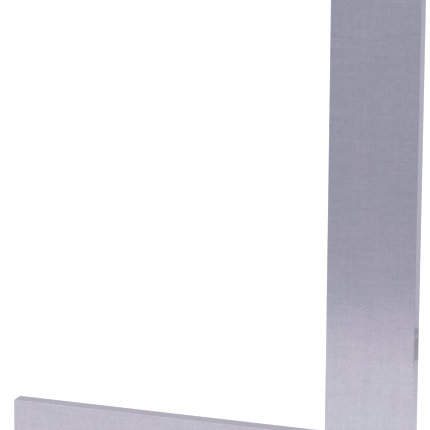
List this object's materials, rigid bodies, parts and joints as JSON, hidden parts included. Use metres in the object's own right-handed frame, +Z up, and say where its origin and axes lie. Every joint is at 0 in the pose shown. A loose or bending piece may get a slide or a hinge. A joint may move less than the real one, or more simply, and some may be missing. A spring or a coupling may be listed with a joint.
{
  "type": "steel square",
  "caption": "Flat steel square: a long and a short ground bar of one thickness, riveted at a right angle, with bevelled edges and a relieved inner corner.",
  "frame": {"origin": "under the middle of the stock's length, half way through its thickness, on the plane of the base edge", "axes": "+X along the stock towards the corner, +Y through the thickness away from the front face, +Z up the blade"},
  "size_m": [0.13, 0.005, 0.2],
  "materials": {
    "blade_steel": "fine ground across the leg",
    "stock_steel": "fine ground across the leg",
    "rivet_steel": "ground flush"
  },
  "bodies": {
    "root": {"blade": "blade_steel", "stock": "stock_steel", "rivet_low_inner": "rivet_steel", "rivet_low_outer": "rivet_steel", "rivet_middle": "rivet_steel", "rivet_high_inner": "rivet_steel", "rivet_high_outer": "rivet_steel"}
  },
  "joints": []
}
